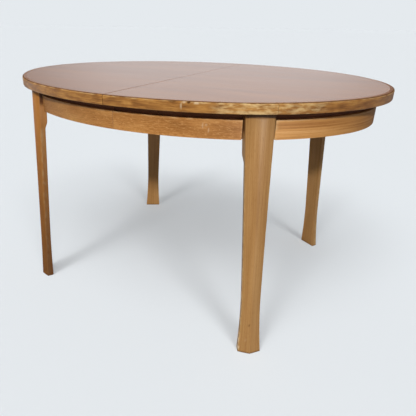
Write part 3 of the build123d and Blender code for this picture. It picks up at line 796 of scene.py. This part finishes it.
def rounded(outline, corners, radius):
    """Cuts each named corner off and puts a short arc in its place."""
    result = []
    for index, here in enumerate(outline):
        if index not in corners:
            result.append(here)
            continue
        before, after = outline[index - 1], outline[(index + 1) % len(outline)]
        here, before, after = Vector(here), Vector(before), Vector(after)
        start = here + (before - here).normalized() * min(radius, (before - here).length * 0.6)
        stop = here + (after - here).normalized() * min(radius, (after - here).length * 0.6)
        for t in (0, 1 / 3, 2 / 3, 1):
            bent = start * (1 - t) ** 2 + here * 2 * t * (1 - t) + stop * t**2
            result.append((bent.x, bent.y))
    return result


print(len(rounded(*leg_outline(0.0, False), ARRIS_RADIUS)), "points round a leg")

# %% [markdown]
# The legs carry marks of their own: arrises are rubbed pale and the front right foot is chipped. Painted
# shade darkens the side faces next to the apron and the front left leg towards its foot, and a painted shadow
# of the rim lies across the top of each leg.

# %% Mark a leg

EDGE_WEAR = 4.0
FOOT_CHAMFER = 1.2
# Painted shade on a leg's side faces next to the apron, and a painted shadow of the rim under the top.
APRON_SHADE_START, APRON_SHADE_RUN = 10.0, 20.0  # above the rail's lower edge
RIM_SHADE_DROP, RIM_SHADE_RUN = 14.0, 5.0  # below the top


def leg_heights():
    """Each ring's height, whether it lies on the rail, and how much the chamfer of the foot takes off it."""
    stretches = [(0.0, ANKLE_HEIGHT, 22), (ANKLE_HEIGHT, knee_bottom, 24), (knee_bottom, knee_top, 14)]
    stretches.append((knee_top, rail_bottom, 5))
    heights = [(0.0, False, FOOT_CHAMFER), (FOOT_CHAMFER, False, 0.0)]
    for low, high, steps in stretches:
        heights += [(low + (high - low) * (step + 1) / steps, False, 0.0) for step in range(steps)]
    return heights + [(rail_bottom + (underside - rail_bottom) * step / 14, True, 0.0) for step in range(15)]


def leg_marks(aside, depth, height, half, chips, smudges, painted_shade):
    beside_edge = max(0.0, 1 - (half - abs(aside)) / EDGE_WEAR)
    on_side = abs(aside) > half - KNEE_SIDE - 2 and depth < 4
    # The side faces get painted shade, deepest next to the apron, and the top a painted shadow of the rim.
    painted_apron_shade = smooth_step((height - rail_bottom - APRON_SHADE_START) / APRON_SHADE_RUN)
    painted_rim_shadow = 0.8 * smooth_step((height - underside + RIM_SHADE_DROP) / RIM_SHADE_RUN)
    at_floor = 0.6 * (height < 2)
    side_tone = on_side * (0.26 * painted_shade + 0.7 * painted_apron_shade)
    # Painted shade that darkens a leg towards its foot.
    darker = painted_shade * (1 - height / underside) ** 0.65
    painted_leg_shade = 1 - (1 - side_tone) * (1 - darker)
    return {
        "wear_and_highlight": 0.7 * beside_edge * (depth > -4),
        "scuff": spots(chips, aside, height) * (depth > -2),
        "stain_and_shade": max(painted_leg_shade, painted_rim_shadow, at_floor, spots(smudges, aside, height)),
    }


print(len(leg_heights()), "rings up a leg")

# %% Loft the four legs


def loft_leg(node, side_x, side_y, chips=(), smudges=(), painted_shade=0.0, finish=None):
    rings = []
    marks = {name: [] for name in ("wear_and_highlight", "scuff", "stain_and_shade")}
    for height, at_rail, shrink in leg_heights():
        outline, corners = leg_outline(height, at_rail)
        half = max(abs(aside) for aside, _ in outline)
        ring = []
        for aside, depth in rounded(outline, corners, ARRIS_RADIUS):
            aside -= math.copysign(min(shrink, abs(aside)), aside)
            depth -= math.copysign(min(shrink, abs(depth)), depth)
            flat = leg_middle(height) + leg_across * aside + leg_outward * depth
            ring.append(Vector((side_x * flat.x, side_y * flat.y, height)) * MM)
            for name, value in leg_marks(aside, depth, height, half, chips, smudges, painted_shade).items():
                marks[name].append(value)
        rings.append(ring)
    return piece_from_rings(node, rings, marks, finish)


right_front_chips = [((33, 13), (3.5, 6), 0.9), ((33, 38), (2.5, 5), 0.8), ((13, 49), (6, 3), 0.4)]
right_front_chips.append(((22, 229), (3, 6), 0.5))
# The front left leg gets painted shade towards its foot and on its side faces.
leg_looks = {
    "right_front_leg": {"chips": right_front_chips, "smudges": [((4.7, 100), (2.8, 4), 0.6)]},
    "left_front_leg": {"painted_shade": 0.76, "finish": finishes["darker_leg"]},
    "left_back_leg": {"finish": finishes["paler_leg"]},
}
legs = []
for side, side_x in (("left", -1), ("right", 1)):
    for row, side_y in (("front", -1), ("back", 1)):
        node = f"{side}_{row}_leg"
        legs.append(loft_leg(node, side_x, side_y, **leg_looks.get(node, {})))
print(len(legs), "legs of", len(legs[0].data.polygons), "faces")

# %% [markdown]
# ## What stays as it was built
# Flat boards, runners, blocks and metal fittings already have the right shape. Modelling them again would
# only add chances to go wrong, so they keep their nodes and get their finish. Their edges are eased: a weld
# joins the loose faces, and a small bevel catches the light.

# %% Finish the nodes that stay

own_finish = {"leaf_bearers": finishes["crosswise_beech"], "insert_leaf_lippings": finishes["beech"]}
own_finish.update({f"insert_leaf_{flap}_flap": finishes["crosswise_veneer"] for flap in ("lower", "upper")})
replaced = {node for piece in strips + legs for node in piece["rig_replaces"]}
kept = [node for node in frame["nodes"] if node not in replaced]
for node in kept:
    shown = frame["nodes"][node]
    shown.data.materials.clear()
    shown.data.materials.append(own_finish.get(node, finishes[slot_of[node]]))
    weld = shown.modifiers.new("join_faces", "WELD")
    weld.merge_threshold = 0.01 * MM
    bevel = shown.modifiers.new("ease_edges", "BEVEL")
    bevel.width = 0.4 * MM
    bevel.segments = 2
    bevel.limit_method = "ANGLE"
    bevel.angle_limit = math.radians(50)
print(len(kept), "nodes keep their shape")

# %% [markdown]
# ## Wood screws
# Under the top, screws hold the blocks, the packers, the bearers and the fittings. Typed places would be
# wrong once a size changes, so each is worked out from a node's solids, found as islands of faces.

# %% Find the solids of a node

PLACE_DIGITS = 4  # of a metre


def solid_boxes(node):
    """Low corner, high corner and middle of each solid, sorted by place so that every run agrees."""
    shell = bmesh.new()
    shell.from_mesh(frame["nodes"][node].data)
    bmesh.ops.remove_doubles(shell, verts=shell.verts, dist=0.002 * MM)
    waiting = set(shell.verts)
    boxes = []
    while waiting:
        found = [waiting.pop()]
        points = []
        while found:
            vertex = found.pop()
            points.append(vertex.co.copy())
            joined = {edge.other_vert(vertex) for edge in vertex.link_edges} & waiting
            waiting -= joined
            found += joined
        low = Vector([min(point[axis] for point in points) for axis in range(3)])
        high = Vector([max(point[axis] for point in points) for axis in range(3)])
        boxes.append((low, high, (low + high) / 2))
    shell.free()
    return sorted(boxes, key=lambda box: box[2].to_tuple(PLACE_DIGITS))


bearers = solid_boxes("leaf_bearers")
print(len(bearers), "bearers")

# %% Choose where the screws go

DOWNWARD = Vector((0, 0, -1))
LARGE_HEAD, SMALL_HEAD = 8 * MM, 4.5 * MM
BEARER_SCREW = 16 * MM  # from the middle of a bearer
PLATE_SCREW = Vector((8.4, 12, 0)) * MM  # from the middle of a lock's plate
PLATE_THICKNESS = 2.5 * MM
HEAD_ROOM = 6 * MM
screws = {"left_half": [], "right_half": []}


def put_screw(body, place, facing, head):
    screws[body].append((Vector(place), facing, head))


for side in ("left", "right"):
    body = f"{side}_half"
    for low, high, middle in solid_boxes(f"{side}_top_blocks"):
        put_screw(body, (middle.x, middle.y, low.z), DOWNWARD, LARGE_HEAD)
    for low, high, middle in solid_boxes(f"{side}_runner_packers"):
        row = "front" if low.y < 0 else "back"
        runner_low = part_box(f"{side}_{row}_runner")[0].z
        for share in (0.1, 0.5, 0.9):
            x = low.x + (high.x - low.x) * share
            under_bearer = any(b[0].x - HEAD_ROOM < x < b[1].x + HEAD_ROOM for b in bearers)
            if not (side == "left" and under_bearer):
                put_screw(body, (x, middle.y, runner_low), DOWNWARD, LARGE_HEAD)
for low, high, middle in bearers:
    for row in ("front", "back"):
        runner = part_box(f"left_{row}_runner")
        for aside in (-BEARER_SCREW, BEARER_SCREW):
            place = (middle.x + aside, (runner[0].y + runner[1].y) / 2, low.z)
            put_screw("left_half", place, DOWNWARD, LARGE_HEAD)
for low, high, middle in solid_boxes("insert_leaf_hinges"):
    outward = Vector((0, math.copysign(1, low.y), 0))
    face = high.y if low.y > 0 else low.y
    for share in (0.14, 0.36, 0.64, 0.86):
        place = (middle.x, face, low.z + (high.z - low.z) * share)
        put_screw("left_half", place, outward, SMALL_HEAD)
for body, fitting in (("left_half", "lock_bases"), ("right_half", "lock_keepers")):
    for low, high, middle in solid_boxes(fitting):
        middle.z = high.z - PLATE_THICKNESS
        for way in (-1, 1):
            put_screw(body, middle + PLATE_SCREW * way, DOWNWARD, SMALL_HEAD)
print({body: len(rows) for body, rows in screws.items()}, "screws")

# %% [markdown]
# A loop could copy a head to each place. One tree of Geometry Nodes is easier to change: it sets the same
# slotted head on every point, turned the way that the point faces and then by a random angle.

# %% Build the tree that makes a screw head

tree = bpy.data.node_groups.new("wood_screws", "GeometryNodeTree")
screw_inputs = {}
tree.interface.new_socket("Geometry", in_out="OUTPUT", socket_type="NodeSocketGeometry")
input_kinds = {"Geometry": "Geometry", "Head height": "Float", "Slot width": "Float", "Turn seed": "Int"}
input_kinds["Finish"] = "Material"
for name, kind in input_kinds.items():
    socket = tree.interface.new_socket(name, in_out="INPUT", socket_type=f"NodeSocket{kind}")
    screw_inputs[name] = socket.identifier
given = add(tree, "NodeGroupInput")
cone = {"Vertices": 16, "Radius Top": 0.4, "Radius Bottom": 0.5, "Depth": given["Head height"]}
head = add(tree, "GeometryNodeMeshCone", None, cone)["Mesh"]
slot_size = {"X": 1.2, "Y": given["Slot width"], "Z": given["Head height"]}
slot_size = add(tree, "CombineXYZ", None, slot_size)["Vector"]
slot = add(tree, "GeometryNodeMeshCube", None, {"Size": slot_size})["Mesh"]
lift = add(tree, "CombineXYZ", None, {"Z": given["Head height"]})["Vector"]
lifted = {"Geometry": slot, "Translation": lift}
slot = add(tree, "GeometryNodeTransform", None, lifted)["Geometry"]
pair = {0: head, 1: slot}
cut = add(tree, "GeometryNodeMeshBoolean", {"operation": "DIFFERENCE"}, pair)["Mesh"]
facing = add(tree, "GeometryNodeInputNamedAttribute", {"data_type": "FLOAT_VECTOR"}, {"Name": "facing"})
aim = {"Vector": facing["Attribute"]}
aim = add(tree, "FunctionNodeAlignRotationToVector", {"axis": "Z"}, aim)["Rotation"]
turn = {2: 0.0, 3: math.pi, "Seed": given["Turn seed"]}
turn = add(tree, "FunctionNodeRandomValue", NUMBERS, turn)[1]
turn = {"Axis": (0, 0, 1), "Angle": turn}
turn = add(tree, "FunctionNodeAxisAngleToRotation", None, turn)["Rotation"]
pair = {"Rotation": aim, "Rotate By": turn}
turned = add(tree, "FunctionNodeRotateRotation", {"rotation_space": "LOCAL"}, pair)["Rotation"]
width = add(tree, "GeometryNodeInputNamedAttribute", NUMBERS, {"Name": "head"})["Attribute"]
on_points = {"Points": given["Geometry"], "Instance": cut, "Rotation": turned, "Scale": width}
heads = add(tree, "GeometryNodeInstanceOnPoints", None, on_points)["Instances"]
heads = add(tree, "GeometryNodeRealizeInstances", None, {"Geometry": heads})["Geometry"]
finished = {"Geometry": heads, "Material": given["Finish"]}
heads = add(tree, "GeometryNodeSetMaterial", None, finished)["Geometry"]
add(tree, "NodeGroupOutput", None, {"Geometry": heads})
print(len(tree.nodes), "nodes in the screw tree")

# %% Set the screws and turn them into plain meshes

HEAD_HEIGHT, SLOT_WIDTH = 0.16, 0.14  # as shares of a head's width

for seed, (body, rows) in enumerate(screws.items()):
    points = bpy.data.meshes.new(f"{body}_screw_places")
    points.from_pydata([place for place, _, _ in rows], [], [])
    facings = [value for _, facing, _ in rows for value in facing]
    points.attributes.new("facing", "FLOAT_VECTOR", "POINT").data.foreach_set("vector", facings)
    points.attributes.new("head", "FLOAT", "POINT").data.foreach_set("value", [head for _, _, head in rows])
    carrier = in_scene(points.name, points)
    maker = carrier.modifiers.new("screws", "NODES")
    maker.node_group = tree
    settings = {"Head height": HEAD_HEIGHT, "Slot width": SLOT_WIDTH, "Turn seed": seed}
    settings["Finish"] = finishes["steel"]
    for name, value in settings.items():
        maker[screw_inputs[name]] = value
    seen_carrier = carrier.evaluated_get(bpy.context.evaluated_depsgraph_get())
    made = bpy.data.meshes.new_from_object(seen_carrier)
    bpy.data.objects.remove(carrier)
    piece = in_scene(f"{body}_wood_screws", made)
    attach(piece, body)
    print(piece.name, len(made.polygons), "faces")

# %% [markdown]
# ## Camera
# The place, the turn and the lens were worked out from the rim, the seam and the feet in the photograph.
# A camera that tracks the table would be simpler, but this lens looks past the middle of the frame, so the
# camera is turned by its own angles and has a sideways shift.

# %% Place the camera

CAMERA_PLACE = Vector((693.1, -1326.0, 907.1)) * MM
CAMERA_YAW = math.radians(29.95)
CAMERA_PITCH = math.radians(24.60)
CAMERA_ROLL = math.radians(-0.41)
FOCAL_LENGTH_PX = 409.1
FRAME_PX = 416
AXIS_PX = 172.9

camera_data = bpy.data.cameras.new("camera")
camera_data.sensor_width = 36.0
camera_data.lens = camera_data.sensor_width * FOCAL_LENGTH_PX / FRAME_PX
camera_data.shift_x = 0.5 - AXIS_PX / FRAME_PX
camera = in_scene("camera", camera_data)
ahead = Vector((-math.sin(CAMERA_YAW), math.cos(CAMERA_YAW), 0))
forward = ahead * math.cos(CAMERA_PITCH) - Vector((0, 0, math.sin(CAMERA_PITCH)))
level = Vector((math.cos(CAMERA_YAW), math.sin(CAMERA_YAW), 0))
rightward = level * math.cos(CAMERA_ROLL) + forward.cross(level) * math.sin(CAMERA_ROLL)
upward = rightward.cross(forward)
turned = Matrix((rightward, upward, -forward)).transposed().to_4x4()
camera.matrix_world = Matrix.Translation(CAMERA_PLACE) @ turned
bpy.context.scene.camera = camera
print("lens", round(camera_data.lens, 2), "mm")

# %% [markdown]
# ## Studio
# The table stands on a pale floor that runs out to an even backdrop. A picture of a studio could light it,
# but a plain sky is enough: the camera sees the backdrop, and the lacquered top mirrors a sky that is
# brighter ahead of the camera than to its sides.

# %% Sky

BACKDROP = "#E5EAEE"
SKY_STRENGTH = 0.2
MIRRORED_AHEAD, MIRRORED_ASIDE = 1.12, 0.48
MIRROR_BEARING = CAMERA_YAW - math.radians(6)

world = bpy.data.worlds.new("studio")
world.use_nodes = True
world.node_tree.nodes.clear()
tree = world.node_tree
path = add(tree, "LightPath")
rays = {0: path["Is Glossy Ray"], 1: path["Is Transmission Ray"]}
mirrored = add(tree, "Math", {"operation": "MAXIMUM"}, rays)[0]
toward = add(tree, "TexCoord")["Generated"]
pair = {0: toward, 1: (-math.sin(MIRROR_BEARING), math.cos(MIRROR_BEARING), 0)}
nearness = add(tree, "VectorMath", {"operation": "DOT_PRODUCT"}, pair)["Value"]
limits = {"Value": nearness, "From Min": 0.885, "From Max": 0.965}
limits.update({"To Min": MIRRORED_ASIDE, "To Max": MIRRORED_AHEAD})
mirror_strength = add(tree, "MapRange", None, limits)["Result"]
skies = []
for colour, strength in (("#FFFFFF", SKY_STRENGTH), (BACKDROP, mirror_strength), (BACKDROP, 1.0)):
    values = {"Color": linear(colour), "Strength": strength}
    skies.append(add(tree, "Background", None, values)["Background"])
pair = {0: mirrored, 1: skies[0], 2: skies[1]}
shown = add(tree, "MixShader", None, pair)["Shader"]
pair = {0: path["Is Camera Ray"], 1: shown, 2: skies[2]}
shown = add(tree, "MixShader", None, pair)["Shader"]
add(tree, "OutputWorld", None, {"Surface": shown})
bpy.context.scene.world = world
print("sky of strength", SKY_STRENGTH)

# %% [markdown]
# The key is a small lamp behind the camera, and suns from the left, above and the back fill the shaded sides.
# These light the table alone. The floor has its own suns, which lay the soft shadow under the table, and two
# narrower ones, which only the legs block, for the streaks that run back from the feet. The gleam is a sun
# seen only in the gloss of the legs and aprons. Softboxes would do, but suns light the whole floor evenly.

# %% Choose what the lights fall on

FLOOR_REACH = 60.0

floor_mesh = bpy.data.meshes.new("floor")
corners = [(x * FLOOR_REACH, y * FLOOR_REACH, 0) for x, y in ((-1, -1), (1, -1), (1, 1), (-1, 1))]
floor_mesh.from_pydata(corners, [], [(0, 1, 2, 3)])
floor = in_scene("floor", floor_mesh)

receivers = {name: bpy.data.collections.new(f"lit_{name}") for name in ("table", "floor", "edges")}
receivers["table"].objects.link(floor)
receivers["table"].collection_objects[0].light_linking.link_state = "EXCLUDE"
receivers["floor"].objects.link(floor)
for piece in legs + [strip for strip in strips if "apron" in strip.name]:
    receivers["edges"].objects.link(piece)
leg_shadows = bpy.data.collections.new("leg_shadows")
for piece in legs:
    leg_shadows.objects.link(piece)

# %% Suns

# What each one lights, its height, bearing and size in degrees, and its strength.
SUNS = {
    "left": ("table", 30, -95, 20, 1.8),
    "overhead": ("table", 62, 12, 40, 0.9),
    "back": ("table", 32, 165, 30, 0.9),
    "above": ("floor", 64, 12, 40, 1.0),
    "front": ("floor", 50, -10, 20, 0.5),
    "right": ("floor", 46, 52, 20, 0.5),
    "front_streak": ("floor", 42, -3, 14, 0.8),
    "right_streak": ("floor", 42, 52, 15, 0.75),
    "gleam": ("edges", 2, 52, 24, 8.0),
}
floor_light = SKY_STRENGTH
for name, (lit, height, bearing, size, strength) in SUNS.items():
    lamp_data = bpy.data.lights.new(name, "SUN")
    lamp_data.energy = strength
    lamp_data.angle = math.radians(size)
    lamp = in_scene(name, lamp_data)
    lamp.visible_glossy = lit == "edges"
    lamp.visible_diffuse = not lamp.visible_glossy
    bearing, height = math.radians(bearing), math.radians(height)
    level_part = math.cos(height)
    from_light = Vector((math.sin(bearing) * level_part, -math.cos(bearing) * level_part, math.sin(height)))
    lamp.rotation_euler = from_light.to_track_quat("Z", "Y").to_euler()
    lamp.light_linking.receiver_collection = receivers[lit]
    if name.endswith("streak"):
        lamp.light_linking.blocker_collection = leg_shadows
    if lit == "floor":
        floor_light += strength * math.sin(height) / math.pi
print("light on the open floor", round(floor_light, 3))

# %% Key lamp

KEY_PLACE = Vector((2.02, -4.59, 3.25))
KEY_TARGET = Vector((0.2, -0.3, 0.5))
KEY_WIDTH = 0.45
KEY_POWER = 232.0

key_data = bpy.data.lights.new("key", "AREA")
key_data.shape = "DISK"
key_data.size = KEY_WIDTH
key_data.energy = KEY_POWER
key = in_scene("key", key_data)
key.location = KEY_PLACE
key.rotation_euler = (KEY_PLACE - KEY_TARGET).to_track_quat("Z", "Y").to_euler()
key.visible_glossy = False
key.light_linking.receiver_collection = receivers["table"]
print("key", round((KEY_PLACE - KEY_TARGET).length, 2), "m away")

# %% [markdown]
# The floor is a matt painted sheet. Its colour is divided by the light that falls on it, so that where it is
# open it renders as the backdrop does, with no line between them. To the camera a part of it glows, which
# thins the shadow. What it throws back on to the table is a plain dim bounce.

# %% Floor

SHADOW_SHARE = 0.7
FLOOR_BOUNCE = 0.25

floor_finish, tree = new_material("pale_floor")
path = add(tree, "LightPath")
seen = path["Is Camera Ray"]
for ray in ("Is Glossy Ray", "Is Transmission Ray"):
    seen = add(tree, "Math", {"operation": "MAXIMUM"}, {0: seen, 1: path[ray]})[0]
seen_colour = [channel / floor_light for channel in linear(BACKDROP)[:3]] + [1.0]
shaded = add(tree, "BsdfDiffuse", None, {"Color": seen_colour})["BSDF"]
even = add(tree, "Emission", None, {"Color": linear(BACKDROP), "Strength": 1.0})["Emission"]
thinned = add(tree, "MixShader", None, {0: SHADOW_SHARE, 1: even, 2: shaded})["Shader"]
bounce = add(tree, "BsdfDiffuse", None, {"Color": [FLOOR_BOUNCE] * 3 + [1.0]})["BSDF"]
floor_shader = add(tree, "MixShader", None, {0: seen, 1: bounce, 2: thinned})["Shader"]
add(tree, "OutputMaterial", None, {"Surface": floor_shader})
floor_mesh.materials.append(floor_finish)
bpy.context.scene.view_settings.view_transform = "Standard"
print("shadow shown at", SHADOW_SHARE)
